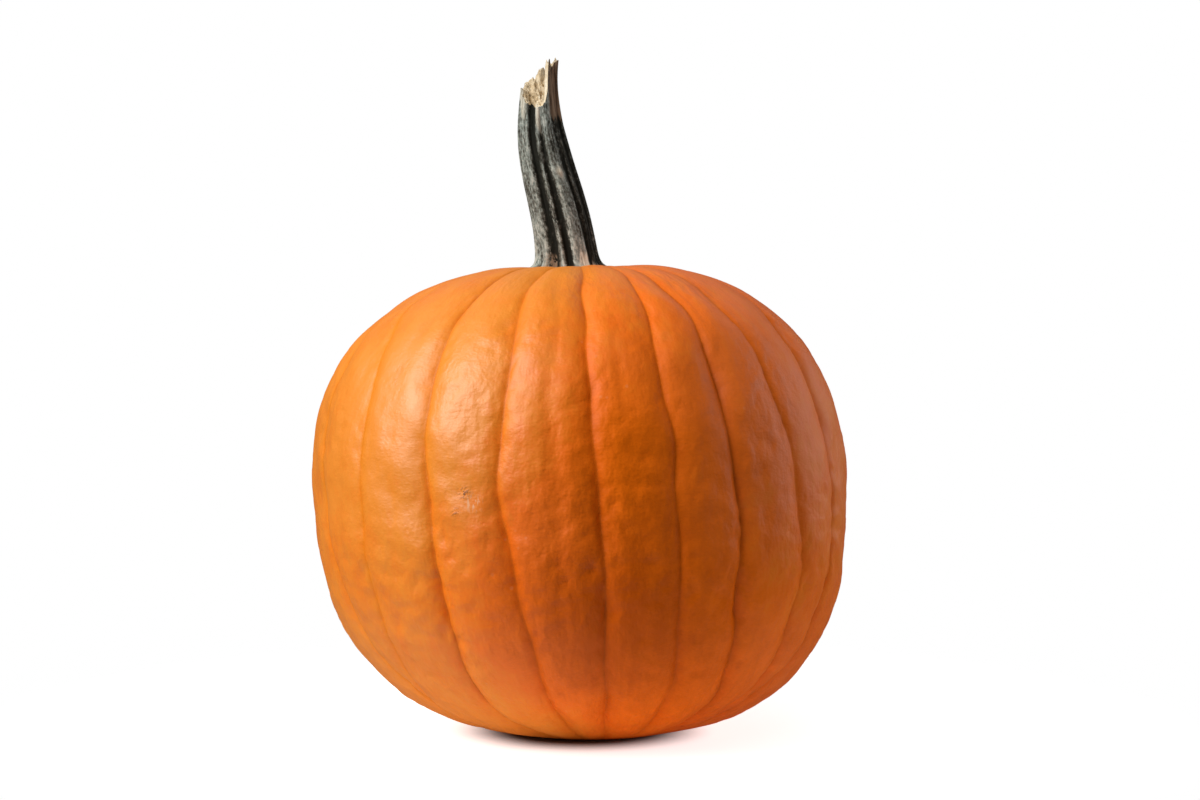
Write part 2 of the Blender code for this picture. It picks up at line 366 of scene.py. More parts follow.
def bark_material(settings):
    """Dry skin of the stem: grey-green ridges with lichen, painted near-black shade in the grooves and on the
    right side, brown and cream patches.
    """
    finish = Finish("stem_bark", settings.roughness)
    finish.surface("Specular IOR Level", 0.2)
    along = finish.attribute("grain_place", "Vector")
    ridge = finish.attribute("ridge")
    fibre = finish.noise(along, 900.0, 4.0, 0.6, 0.07)
    blotch = finish.noise(along, 210.0, 4.0, 0.6, 0.35)
    fleck = finish.noise(along, 850.0, 3.0, 0.6, 0.7)

    # Painted shade: the bark goes from grey-green on the ridge tops to near-black in the grooves
    shade = finish.maths("MULTIPLY_ADD", ridge, 0.66, 0.02)
    shade = finish.vary(shade, fibre, 0.80)
    shade = finish.vary(shade, blotch, 1.25)
    shade = finish.vary(shade, fleck, 1.20)
    colour = finish.ramp(shade, [
        (0.10, settings.groove), (0.34, (0.030, 0.031, 0.024)), (0.56, (0.12, 0.122, 0.105)),
        (0.80, settings.ridge), (1.0, (0.50, 0.51, 0.46)),
    ])
    olive = finish.spread(finish.noise(along, 60.0, 2.0), 0.50, 0.70, 0.0, 0.25)
    colour = finish.mix(olive, colour, (0.20, 0.165, 0.10), "SOFT_LIGHT")
    lichen = finish.spread(finish.noise(along, 640.0, 4.0, 0.72, 0.38), 0.54, 0.66, 0.0, 0.85)
    colour = finish.mix(finish.times(lichen, finish.spread(ridge, 0.15, 0.75)), colour, settings.lichen)
    soot = finish.spread(finish.noise(along, 460.0, 4.0, 0.75, 0.4), 0.44, 0.34, 0.0, 0.8)
    colour = finish.mix(soot, colour, settings.groove)
    brown = finish.ramp(fibre, [(0.32, (0.055, 0.033, 0.020)), (0.60, (0.32, 0.225, 0.15))])
    colour = finish.mix(finish.attribute("peel"), colour, brown)
    crust = finish.ramp(blotch, [(0.32, (0.10, 0.07, 0.045)), (0.55, (0.30, 0.22, 0.15))])
    speckled = finish.times(finish.attribute("crust"), finish.spread(fleck, 0.40, 0.54))
    colour = finish.mix(speckled, colour, crust)
    cream = finish.ramp(fibre, [(0.3, (0.56, 0.49, 0.36)), (0.6, (0.98, 0.93, 0.79))])
    worn = finish.spread(blotch, 0.34, 0.50, 0.35, 1.0)
    colour = finish.mix(finish.times(finish.attribute("cream"), worn), colour, cream)
    finish.surface("Base Color", colour)

    relief = finish.bump(fibre, 0.00035)
    relief = finish.bump(blotch, 0.0005, relief)
    relief = finish.bump(fleck, 0.00012, relief)
    finish.surface("Normal", relief)
    return finish.material


def wood_material(settings):
    """Torn inside of the stem: pale tan fibres, darker in the pits and towards the pith."""
    finish = Finish("stem_wood", 0.9)
    place = finish.place()
    fibre = finish.noise(place, 1500.0, 4.0, 0.65, 0.30)
    patch = finish.noise(place, 330.0, 3.0, 0.6)
    shade = finish.vary(finish.attribute("pale"), fibre, 0.45)
    shade = finish.vary(shade, patch, 0.7)
    colour = finish.ramp(shade, [
        (0.0, (0.10, 0.052, 0.016)), (0.30, (0.34, 0.235, 0.115)), (0.62, settings.wood),
        (1.0, (0.88, 0.80, 0.63)),
    ])
    finish.surface("Base Color", colour)
    relief = finish.bump(fibre, 0.00022)
    relief = finish.bump(patch, 0.0007, relief)
    finish.surface("Normal", relief)
    return finish.material


# ---- Fruit ----

FRUIT_ROWS = 222            # rings of the mesh from the base to the crown
COLUMNS_PER_RIB = 22        # columns of the mesh from one groove to the next
GATHER = 0.10               # how far the columns of a rib are drawn towards its grooves
DRIFT_HEIGHT = 0.030        # how quickly the base's drift fades with height
SHOULDER_LEVEL = 0.157      # height of the shoulders, and how far up and down their drift reaches
SHOULDER_REACH = 0.050
MARK_REACH = 16             # degrees of latitude over which a marked bearing counts
LOW_FADE = (0.020, 0.070)   # every groove and crease fades in between these radii under the fruit
CREASE_FADE = (0.004, 0.070)    # a crease does so between these on the crown
BULGE_FADE = (0.030, 0.115)     # and the bulge of a rib between these
CREASE_TIP = 0.0005         # half the width over which the bottom of a crease is rounded
CREASE_WANDER = 0.5         # degrees by which a shallow crease sways
FULL_GROOVE = 0.0036        # depth of the deepest grooves, which mark the rind in full
LEFT_BANK = 0.80            # share of the groove width that the bank at a rib's left groove has
RIGHT_BANK = 1.30           # and the bank at its right one
SEAM_SHARE = 0.10           # share of a crease that its fine seam has
SEAM_WIDTH = 0.0016         # width of the seam at the bottom of a crease
GROOVE_SHADE_WIDTH = 0.0060        # width over which a groove darkens the rind with painted shade
SEAM_SHADE_WIDTH = 0.0012   # width over which its seam adds painted shade too
FOLD_WIDTH = 0.0024         # width over which a groove takes the rind's shine away
LINE_WIDTH = 0.0011         # width of the painted shade line at the bottom of a groove
DENT_HEIGHT = 0.00015       # height of the small dents that are worked into the mesh
DENT_STRETCH = (1.0, 1.0, 1.15)     # the dents are this much longer along the ribs
PIT_DEPTH = 0.0003          # depth of the pitted scars
CORK_RADIUS = (0.0075, 0.0055)   # outer and inner edge of the corky blossom scar


def course_weights(latitudes):
    """Gives how much each of the five marked latitudes counts at each row: nearer marks count more."""
    marks = np.radians(COURSE_LATITUDES)
    weights = bell(latitudes[:, None] - marks[None, :], radians(MARK_REACH)) + 1e-9
    return weights / weights.sum(axis=1, keepdims=True)


def groove_courses(latitudes):
    """Gives every groove's bearing at each row, in radians, and every groove's depth.

    The marked bearings are blended by nearness. The last column repeats the first groove a turn later.
    """
    rng = np.random.default_rng(7)
    marks = [course for _, course in FRONT_GROOVES]
    for _, bearing in BACK_GROOVES:
        marks.append(bearing + rng.normal(0.0, 1.1, len(COURSE_LATITUDES)))
    marks.append(np.array(marks[0]) + 360.0)
    depths = [groove[0] for groove in FRONT_GROOVES + BACK_GROOVES] + [FRONT_GROOVES[0][0]]
    courses = course_weights(latitudes) @ np.radians(np.array(marks)).T
    sway = np.array([radians(0.35) * waves(
        np.stack([latitudes, latitudes * 0.0 + number, latitudes * 0.0], axis=-1), 0.34, 40 + number, 10)
        for number in range(len(marks) - 1)]).T
    courses += np.concatenate([sway, sway[:, :1]], axis=1)
    return courses, np.array(depths)


def sharp_crease(metres, width):
    """Gives a crease's depth across it, from 0 to 1: an exponential whose tip is rounded."""
    return np.exp((CREASE_TIP - np.sqrt(metres ** 2 + CREASE_TIP ** 2)) / width)


def crease_depth(bearing, latitude, radius):
    """Gives the depth of the shallow creases: each follows a quadratic course and fades at its ends."""
    depth = np.zeros_like(bearing)
    for deep, width, top, bottom, (top_bearing, middle_bearing, bottom_bearing) in CREASES:
        along = np.clip((latitude - radians(top)) / radians(bottom - top), -0.2, 1.2)
        curve = np.polyfit((0.0, 0.5, 1.0), np.radians((top_bearing, middle_bearing, bottom_bearing)), 2)
        wander = radians(CREASE_WANDER) * np.sin(along * 17.0 + deep * 9000.0)
        distance = np.abs(angle_between(bearing, np.polyval(curve, along) + wander)) * radius
        ends = soft_step(along, -0.1, 0.18) * soft_step(along, 1.1, 0.8)
        depth += deep * ends * sharp_crease(distance, width)
    return depth


def skin_place(bearing, latitude, settings):
    """Gives each point a place on an unrolled skin: round a circle, and along the rib, in metres."""
    radius = settings.radius
    return np.stack([radius * np.cos(bearing), radius * np.sin(bearing), radius * latitude], axis=-1)


def profile(latitude, settings):
    """Gives the side view of the fruit: a superellipse in polar form, with its outward normal."""
    across = np.cos(latitude)
    up = np.sin(latitude)
    rise = np.where(up > 0.0, settings.crown_rise, settings.base_drop)
    power = np.where(up > 0.0, settings.crown_power, settings.base_power)
    reach = ((across / settings.radius) ** power + (np.abs(up) / rise) ** power) ** (-1.0 / power)
    normal = np.stack([across ** (power - 1.0) / settings.radius ** power,
                       np.sign(up) * np.abs(up) ** (power - 1.0) / rise ** power])
    return reach * across, reach * up, normal / np.hypot(*normal)


def settle(points, settings):
    """Tips the fruit about its middle, lifts it onto the floor and presses the base flat there.

    The base is then drawn to the right, as an exponential of the height, and the shoulders to the left, as
    a bell.
    """
    x, y, z = np.moveaxis(points, -1, 0)
    back, left = settings.lean_back, settings.lean_left
    y, z = y * cos(back) + z * sin(back), z * cos(back) - y * sin(back)
    x, z = x * cos(left) - z * sin(left), z * cos(left) + x * sin(left)
    z = np.maximum(z + settings.base_drop - settings.settle, 0.0)
    x = x + settings.base_drift * np.exp(-z / DRIFT_HEIGHT)
    x = x - settings.shoulder_drift * bell(z - SHOULDER_LEVEL, SHOULDER_REACH)
    return np.stack([x, y, z], axis=-1)


def groove_marks(bearing, latitude, radius, left, right, settings):
    """Gives the depth of the grooves, and how much painted shade they lay on the rind round them, how much
    they fold it, and how dark a painted shade line they draw along their bottoms.

    Left and right hold the bearings and the depths of the grooves at the two sides of each point's rib.
    A groove is an exponential crease with a finer seam at its bottom, plus the rib's own bulge, which is
    a parabola out to the middle of the rib.
    """
    low_fade = soft_step(radius, *LOW_FADE)
    crease_fade = np.where(latitude > 0.0, soft_step(radius, *CREASE_FADE), low_fade)
    bulge_fade = np.where(latitude > 0.0, soft_step(radius, *BULGE_FADE), low_fade)
    seam = 0.2 + angle_step(latitude, 48, 8)
    half_rib = (right[0] - left[0]) * radius / 2.0
    relief, groove_shade, fold, line = np.zeros((4, *bearing.shape))
    for (edge, depth), bank in ((left, LEFT_BANK), (right, RIGHT_BANK)):
        metres = np.abs(bearing - edge) * radius
        crease = (1.0 - SEAM_SHARE) * sharp_crease(metres, settings.groove_width * bank)
        crease += SEAM_SHARE * seam * sharp_crease(metres, SEAM_WIDTH)
        bulge = np.clip(1.0 - metres / half_rib, 0.0, 1.0) ** 2
        relief += depth * settings.groove_share * crease * crease_fade
        relief += depth * (1.0 - settings.groove_share) * bulge * bulge_fade
        # Painted shade: the rind darkens towards each groove and its seam, and a painted shade line runs
        # along each groove's bottom
        near = np.exp(-metres / GROOVE_SHADE_WIDTH) + 0.3 * seam * np.exp(-metres / SEAM_SHADE_WIDTH)
        groove_shade += depth / FULL_GROOVE * near * crease_fade
        fold = np.maximum(fold, np.exp(-metres / FOLD_WIDTH) * crease_fade)
        line = np.maximum(line, depth / FULL_GROOVE * np.exp(-metres / LINE_WIDTH) * crease_fade)
    relief += crease_depth(bearing, latitude, radius) * crease_fade
    return relief, groove_shade, fold, line, crease_fade, bulge_fade


def rind_tone_and_painted_light(bearing, latitude, skin):
    """Gives how pale and yellow the rind is, which is mostly painted light: a pale left side where the key
    light falls, a pale crown where the light from above falls, a pale base where the floor's light falls, a
    paler far side, a painted pool of light on the right under the side light, a painted shade spot low on the
    front, and soft waves of real tone.
    """
    turn = np.abs(angle_between(bearing, radians(-80))) - 0.3 * np.maximum(latitude, radians(-20))
    turn = turn + 0.35 * np.minimum(latitude + radians(20), 0.0)
    side = angle_step(turn, 87, 40) * (1.0 - 0.36 * angle_step(latitude, 20, 65))
    crown = bell(angle_between(bearing, radians(-4)), radians(32)) * angle_step(latitude, -8, 24)
    pale = 0.40 + 0.55 * side + 0.16 * crown + 0.20 * angle_step(latitude, 24, 60)
    pale += 0.16 * angle_step(latitude, -28, -64)
    pale += 0.10 * angle_step(np.abs(angle_between(bearing, 0)), 100, 150)
    # A painted pool of light on the right side under the side light, then a painted shade spot low on the
    # front
    pale += 0.26 * spot(bearing, latitude, 72, 0, 32, 32)
    pale -= 0.44 * spot(bearing, latitude, 0, -28, 27, 22)
    return pale + 0.04 * waves(skin, 0.11, 31, 14)


def rind_dullness(bearing, latitude, fold):
    """Gives how much of the shine is gone: on the front, lower down on the right, and in the folds."""
    front = spot(bearing, latitude, 10, 4.6, 24, 42)
    below = bell(angle_between(bearing, radians(22)), radians(60)) * angle_step(latitude, -2, -24)
    return 1.0 - (1.0 - front) * (1.0 - below) * (1.0 - 0.85 * fold)


def scar_marks(skin, settings):
    """Gives each scar as a bell round its place on the skin."""
    marks = []
    for bearing, latitude, size in SCARS:
        place = skin_place(np.array(radians(bearing)), np.array(radians(latitude)), settings)
        marks.append(bell(np.linalg.norm(skin - place, axis=-1), size))
    return marks


def make_rind(settings):
    """Works out the rind: rings of points whose columns follow the grooves from base to crown.

    Each point starts on the side view's superellipse and moves in along its normal by the depth of the
    grooves, creases, scars and dents there. The swell and the dents are seeded waves. The stem's hollow
    and the blossom's dimple are bells.
    """
    latitudes = ((np.arange(FRUIT_ROWS) + 1.0) / (FRUIT_ROWS + 1.0) - 0.5) * pi
    courses, depths = groove_courses(latitudes)
    ribs = len(depths) - 1
    even = np.tile(np.arange(COLUMNS_PER_RIB) / COLUMNS_PER_RIB, ribs)
    rib = np.repeat(np.arange(ribs), COLUMNS_PER_RIB)
    share = even - GATHER * np.sin(2.0 * pi * even)
    left, right = courses[:, rib], courses[:, rib + 1]
    bearing = left + (right - left) * share
    latitude = np.broadcast_to(latitudes[:, None], bearing.shape)
    radius, height, normal = profile(latitudes, settings)
    radius, height = radius[:, None], height[:, None]
    skin = skin_place(bearing, latitude, settings)

    grooves, groove_shade, fold, line, crease_fade, bulge_fade = groove_marks(
        bearing, latitude, radius, (left, depths[rib]), (right, depths[rib + 1]), settings)
    grooves = grooves * (1.0 + 0.16 * waves(skin, 0.045, 3, 16) + 0.22 * angle_step(latitude, 5, -30))
    patches = soft_step(waves(skin, 0.07, 11, 20), -0.6, 1.4)
    line = line * (0.62 + 0.38 * patches)
    rough = 0.45 + 0.35 * patches + 0.45 * angle_step(latitude, 6, -18)
    rough += 0.10 * spot(bearing, latitude, -12, 0, 34, 42)
    rough += 0.35 * spot(bearing, latitude, 1, 3, 15, 26)
    rough = np.clip(rough, 0.0, 1.2) * crease_fade
    swell = 0.0004 * waves(skin, 0.085, 21, 18) + 0.00026 * waves(skin, 0.026, 22)
    dents = waves(skin, 0.0090, 23, 40, DENT_STRETCH) + 0.7 * waves(skin, 0.0050, 24, 40, DENT_STRETCH)
    dents = DENT_HEIGHT * (dents - 0.20 * dents ** 2) * rough
    pitted, fainter, scratch = scar_marks(skin, settings)
    pits = pitted + 0.7 * fainter

    inward = grooves - (swell + dents) * bulge_fade + PIT_DEPTH * pits
    radius = np.maximum(radius - inward * normal[0][:, None], 0.0)
    height = height - inward * normal[1][:, None]
    hollow = settings.hollow_depth * bell(radius, settings.hollow_radius)
    dimple = settings.blossom_depth * bell(radius, settings.blossom_radius)
    height = height + np.where(latitude > 0.0, -hollow, dimple)
    points = np.stack([radius * np.sin(bearing), -radius * np.cos(bearing), height], axis=-1)
    values = {
        "groove": groove_shade, "line": line, "rough": rough, "pits": pits, "scratch": scratch,
        "tone_and_painted_light": rind_tone_and_painted_light(bearing, latitude, skin),
        "dull": rind_dullness(bearing, latitude, fold),
        "cork": np.where(latitude > 0.0, 0.0, soft_step(radius, *CORK_RADIUS)),
    }
    return settle(points, settings), values, {"skin": skin}


# ---- Stem ----

STEM_ROWS = 250             # rings of the mesh on the side of the stem
STEM_COLUMNS = 288
CAP_ROWS = 44               # rings on the broken face
GRAIN_RADIUS = 0.0138       # radius of the tube that the bark's grain is laid on
STRAND_HEIGHT = 0.00014     # height of the fine strands on the side of the stem
RAGGED_EDGE = 0.0012        # how far the strands push the edge of a coloured patch up and down
KNOB_BEARING = 24           # where a small knob is, how far up the stem, and how high it stands
KNOB_LEVEL = 0.0495
KNOB_HEIGHT = 0.0007
FACE_LIFT = 0.0058          # from the lowest point of the rim up to the middle of the broken face
FACE_STEP = 0.0012          # height of the step round the pith
# Pits in the broken face: sideways and front to back place from its middle, depth and radius
FACE_PITS = [
    (-0.0042, -0.0012, 0.0024, 0.0010), (-0.0034, -0.0042, 0.0022, 0.0012), (0.0012, 0.0015, 0.0016, 0.0010),
    (-0.0012, 0.0030, 0.0014, 0.0009), (0.0030, -0.0030, 0.0012, 0.0008),
]


def stem_ridges(bearing, level):
    """Gives the height of the ridges round the stem and how far their feet reach.

    Each ridge is a flat-topped bell across and follows a quadratic course up the stem.
    """
    height = np.zeros_like(bearing)
    reach = np.zeros_like(bearing)
    for course, tall, half_width, foot in STEM_RIDGES:
        curve = np.polyfit((0.0, 0.5, 1.0), np.radians(course), 2)
        distance = np.abs(angle_between(bearing, np.polyval(curve, level))) / radians(half_width)
        height += tall * np.exp(-distance ** 2.6)
        reach += foot * np.exp(-(0.8 * distance) ** 2)
    return height, reach


def strand_relief(bearing, level):
    """Gives the fine strands on the ridges: waves round the stem that drift as they rise."""
    circle = np.stack([np.cos(bearing), np.sin(bearing), level], axis=-1)
    coarse = waves(circle, 0.30, 51, 30, (1.0, 1.0, 3.0))
    return coarse + 0.7 * waves(circle, 0.14, 52, 30, (1.0, 1.0, 2.4))


def soft_top(bearing, middle, half_width):
    """Gives a steep-sided hump round a bearing: 1 at its middle and 0 outside its half width."""
    distance = np.abs(angle_between(bearing, radians(middle))) / radians(half_width)
    return soft_step(distance, 1.0, 0.35)


def rim_height(bearing, settings):
    """Gives the height of the broken rim: straight lines between the listed points, with seeded teeth."""
    marks, heights = np.array(BREAK_RIM).T
    turned = np.degrees(angle_between(bearing, 0.0))
    circle = np.stack([np.cos(bearing), np.sin(bearing), 0.0 * bearing], axis=-1)
    teeth = 0.00035 * waves(circle, 0.26, 61, 24) + 0.00022 * waves(circle, 0.10, 62, 24)
    return settings.break_level + np.interp(turned, marks, heights, period=360.0) + teeth


def stem_course(height, settings):
    """Gives the sideways place of the stem's middle line at a height, and its radius without ridges."""
    heights, sideways, radii = np.array(STEM_COURSE).T
    smooth = [np.polyfit(heights, values, 5) for values in (sideways, radii)]
    inside = np.clip(height, 0.0, heights[-1])
    return np.polyval(smooth[0], inside), np.polyval(smooth[1], inside) * settings.thickness


def bark_masks(bearing, z, below_rim, ridge, strands, knob, settings):
    """Gives where the bark is ridged, with painted shade in the grooves and on its right side, and where it
    is peeled, crusted and cream; the strands make the edges ragged.
    """
    ragged = RAGGED_EDGE * strands
    # Painted shade on the stem's right side, away from the key light
    painted_shade_side = 1.0 - 0.60 * soft_top(bearing, 82, 48)
    pale_foot = 1.0 + 0.22 * soft_step(z, 0.036, 0.010)
    patch_top = settings.foot_level + 0.010
    patch = soft_top(bearing, 34, 17) * soft_step(z + 1.6 * ragged, patch_top, patch_top - 0.004)
    root = soft_top(bearing, 66, 48) * soft_step(z + ragged, 0.0070, 0.0035)
    left_peel = soft_top(bearing, -72, 40) * soft_step(below_rim + ragged, 0.0075, 0.0060)
    streak = soft_top(bearing, -5, 8) * soft_step(below_rim + ragged, 0.0120, 0.0070)
    cream = 1.5 * patch + 0.5 * root + 0.55 * left_peel + 0.75 * streak + 0.8 * knob
    crust = soft_top(bearing, -27, 22) * soft_step(strands, -1.6, 0.4)
    return {
        "ridge": soft_step(ridge + 0.00010 * strands, 0.0006, 0.0024) * painted_shade_side * pale_foot,
        "peel": soft_top(bearing, 66, 46) * soft_step(z + ragged, 0.0735, 0.0755),
        "crust": crust * soft_step(z + ragged, 0.0125, 0.0085),
        "cream": np.clip(cream, 0.0, 1.0),
    }


def make_stem_side(settings):
    """Works out the side of the stem: rings of ridges carried up the middle line and spread into feet.

    Each ring is a circle plus ridges, strands, a knob and, near the crown, feet that fall off exponentially
    with height. The rings end at the broken rim.
    """
    share = (np.arange(STEM_ROWS) / (STEM_ROWS - 1.0))[:, None]
    bearing = (np.arange(STEM_COLUMNS) * 2.0 * pi / STEM_COLUMNS)[None, :]
    share, bearing = np.broadcast_arrays(share, bearing)
    rim = rim_height(bearing, settings)
    z = rim * share ** 1.15
    level = z / settings.break_level
    ridge, reach = stem_ridges(bearing, np.clip(level, 0.0, 1.1))
    strands = strand_relief(bearing, level)
    middle, radius = stem_course(z, settings)
    slim = 1.0 - 0.22 * soft_step(level, 0.45, 1.0)
    foot = np.exp(-np.maximum(z - settings.foot_level, 0.0) / settings.foot_height)
    radius = radius + ridge * slim + STRAND_HEIGHT * strands + settings.foot_spread * foot * reach
    knob = bell(angle_between(bearing, radians(KNOB_BEARING)) * radius, 0.0015) * bell(z - KNOB_LEVEL, 0.0022)
    radius = radius + KNOB_HEIGHT * knob
    points = np.stack([middle + radius * np.sin(bearing), -radius * np.cos(bearing), z], axis=-1)
    place = np.stack([GRAIN_RADIUS * np.cos(bearing), GRAIN_RADIUS * np.sin(bearing), z], axis=-1)
    return points, bark_masks(bearing, z, rim - z, ridge, strands, knob, settings), place


def make_stem_break(rim_points, settings):
    """Works out the broken face: rings that shrink from the rim to the pith.

    The face is a plane that rises to the back. The rim stands up from it as a torn wall, thicker where it
    is tall. The face is crossed by a curved step round the pith, and pitted and rough by seeded waves.
    """
    inward = (np.arange(1, CAP_ROWS + 1) / (CAP_ROWS + 1.0))[:, None]
    middle = rim_points.mean(axis=0)
    points = middle + (rim_points - middle) * (1.0 - inward[..., None])
    x, y = points[..., 0] - middle[0], points[..., 1] - middle[1]
    bearing = np.arctan2(x, -y)
    plane = settings.break_level + FACE_LIFT + y * tan(settings.break_tilt)
    rise = rim_points[None, :, 2] - plane
    thickness = np.clip(0.10 + 22.0 * rise, 0.10, 0.40)
    wall = soft_step(inward, 1.0, 0.0) ** 0.5 * np.exp(-np.maximum(inward - thickness, 0.0) / 0.07)
    wall = np.where(inward < thickness, 1.0 - 0.10 * inward / thickness, 0.9 * wall)
    rough = waves(points, 0.0036, 71, 30) * 0.00075 + waves(points, 0.0017, 72, 30) * 0.00034
    fibres = waves(points, 0.0010, 73, 30, (1.0, 1.0, 5.0)) * 0.00008
    step = FACE_STEP * soft_step(np.hypot(x, y), 0.0052, 0.0044) * soft_top(bearing, 10, 150)
    pits = sum(deep * bell(np.hypot(x - pit_x, y - pit_y), wide) for pit_x, pit_y, deep, wide in FACE_PITS)
    edge = soft_step(inward, 0.0, 0.10)
    face = plane + (rough + fibres) * edge - step - pits
    points[..., 2] = face + np.maximum(rise, -0.0006) * np.clip(wall, 0.0, 1.0) + fibres * edge * (1.0 - edge)
    high = step > 0.75 * FACE_STEP
    slope = (step > 0.25 * FACE_STEP) & ~high
    pale = 0.66 - 140.0 * pits - 0.24 * slope - 0.10 * high + 0.26 * soft_top(bearing, 5, 36) * edge
    return points, pale + 0.12 * soft_top(bearing, 33, 22) * (rise > 0.004)


def make_stem(settings):
    """Works out the whole stem, side and broken face in one closed grid, inside the CAD stem's box."""
    side, values, place = make_stem_side(settings)
    face, pale = make_stem_break(side[-1], settings)
    values = {name: np.concatenate([value, np.zeros_like(pale)]) for name, value in values.items()}
    values["pale"] = np.concatenate([np.zeros(side.shape[:2]), pale])
    rings = np.concatenate([side, face])
    low, high = np.array(STEM_BOX[0]), np.array(STEM_BOX[1])
    foot = np.array([low[0] + settings.foot_inset, (low[1] + high[1]) / 2.0, low[2]])
    tall = (high[2] - low[2]) / rings[..., 2].max()
    return foot + rings * [1.0, 1.0, tall], values, {"grain_place": np.concatenate([place, face])}


# ---- Settings ----


def length_setting(name, description, default):
    """Makes a setting that is a length in metres."""
    return FloatProperty(name=name, description=description, default=default, min=0.0, precision=5,
                         unit="LENGTH", subtype="DISTANCE")


def angle_setting(name, description, default):
    """Makes a setting that is an angle."""
    return FloatProperty(name=name, description=description, default=default,
                         unit="ROTATION", subtype="ANGLE")


def power_setting(name, description, default):
    """Makes a setting that is the power of a light in watts."""
    return FloatProperty(name=name, description=description, default=default, min=0.0, unit="POWER")


def share_setting(name, description, default, highest=1.0):
    """Makes a setting that is a plain number."""
    return FloatProperty(name=name, description=description, default=default, min=0.0, max=highest)


def colour_setting(name, description, default):
    """Makes a setting that is a colour."""
    return FloatVectorProperty(name=name, description=description, default=default, size=3, subtype="COLOR",
                               min=0.0, max=1.0)


class PUMPKIN_PG_fruit(bpy.types.PropertyGroup):
    """Sizes and colours of the fruit."""

    radius: length_setting("Radius", "Half the width of the fruit", 0.1247)
    crown_rise: length_setting("Crown rise", "From the widest level up to the crown", 0.1065)
    base_drop: length_setting("Base drop", "From the widest level down to the base", 0.1174)
    crown_power: share_setting("Crown power", "How square the fruit is above its widest level", 2.34, 6.0)
    base_power: share_setting("Base power", "How square the fruit is below its widest level", 2.53, 6.0)
    settle: length_setting("Settle", "How far the base is pressed flat", 0.0019)
    lean_back: angle_setting("Lean back", "How far the crown is tipped away", radians(5))
    lean_left: angle_setting("Lean left", "How far the crown is tipped to the left", radians(1.2))
    base_drift: length_setting("Base drift", "How far the base is drawn to the right", 0.0055)
    shoulder_drift: length_setting("Shoulder drift", "How far the shoulders are drawn to the left", 0.0022)
    hollow_depth: length_setting("Hollow depth", "Depth of the hollow round the stem", 0.007)
    hollow_radius: length_setting("Hollow radius", "Radius of the hollow round the stem", 0.034)
    blossom_depth: length_setting("Blossom depth", "Depth of the dimple under the fruit", 0.0045)
    blossom_radius: length_setting("Blossom radius", "Radius of the dimple under the fruit", 0.010)
    groove_width: length_setting("Groove width", "How quickly a groove opens out", 0.0052)
    groove_share: share_setting("Groove share", "The sharp crease's share of a groove's depth", 0.80)
    dent_depth: length_setting("Dent depth", "Depth of the small dents in the skin", 0.00072)
    grain_depth: length_setting("Grain depth", "Depth of the skin's fine grain", 0.00015)
    roughness: share_setting("Roughness", "Roughness of the waxy skin", 0.47)
    specular: share_setting("Specular", "Strength of the reflections of the skin", 0.95)
    # These three oranges are the stops of the rind's tone, which carries painted light: the light orange
    # stands where light falls, the deep orange in the painted shade low on the front
    light: colour_setting("Light orange", "Rind on the sunny side", (0.89, 0.272, 0.014))
    middle: colour_setting("Orange", "Rind elsewhere", (0.90, 0.165, 0.003))
    deep: colour_setting("Deep orange", "Rind where it is ripest", (0.60, 0.098, 0.001))
    # Painted shade: the colour of the dark line at the bottom of the grooves
    fold: colour_setting("Fold", "Bottom of the grooves", (0.38, 0.070, 0.005))
    speck: colour_setting("Cork", "Pale cork of specks and scars", (0.88, 0.55, 0.33))
    pit: colour_setting("Pit", "Dark pits of the scars", (0.16, 0.045, 0.012))


class PUMPKIN_PG_stem(bpy.types.PropertyGroup):
    """Sizes and colours of the stem."""

    break_level: length_setting("Break level", "From the foot up to the lowest point of the break", 0.0794)
    thickness: share_setting("Thickness", "Share of the usual thickness", 1.0, 3.0)
    foot_level: length_setting("Foot level", "Height at which the feet are widest", 0.0030)
    foot_height: length_setting("Foot height", "How quickly a foot rises into the stem", 0.0018)
    foot_spread: length_setting("Foot spread", "How far a foot reaches out", 0.0078)
    foot_inset: length_setting("Foot inset", "From the left end of the feet to the middle line", 0.0231)
    break_tilt: angle_setting("Break tilt", "How far the broken face drops to the front", radians(47))
    roughness: share_setting("Roughness", "Roughness of the dry bark", 0.78)
    ridge: colour_setting("Ridge", "Grey-green of the ridges", (0.27, 0.315, 0.29))
    # Painted shade: the near-black of the stem's grooves, also used for the soot
    groove: colour_setting("Groove", "Near-black of the grooves", (0.008, 0.009, 0.006))
    lichen: colour_setting("Lichen", "Pale crust on the ridges", (0.51, 0.56, 0.51))
    wood: colour_setting("Wood", "Torn wood of the break", (0.64, 0.51, 0.33))


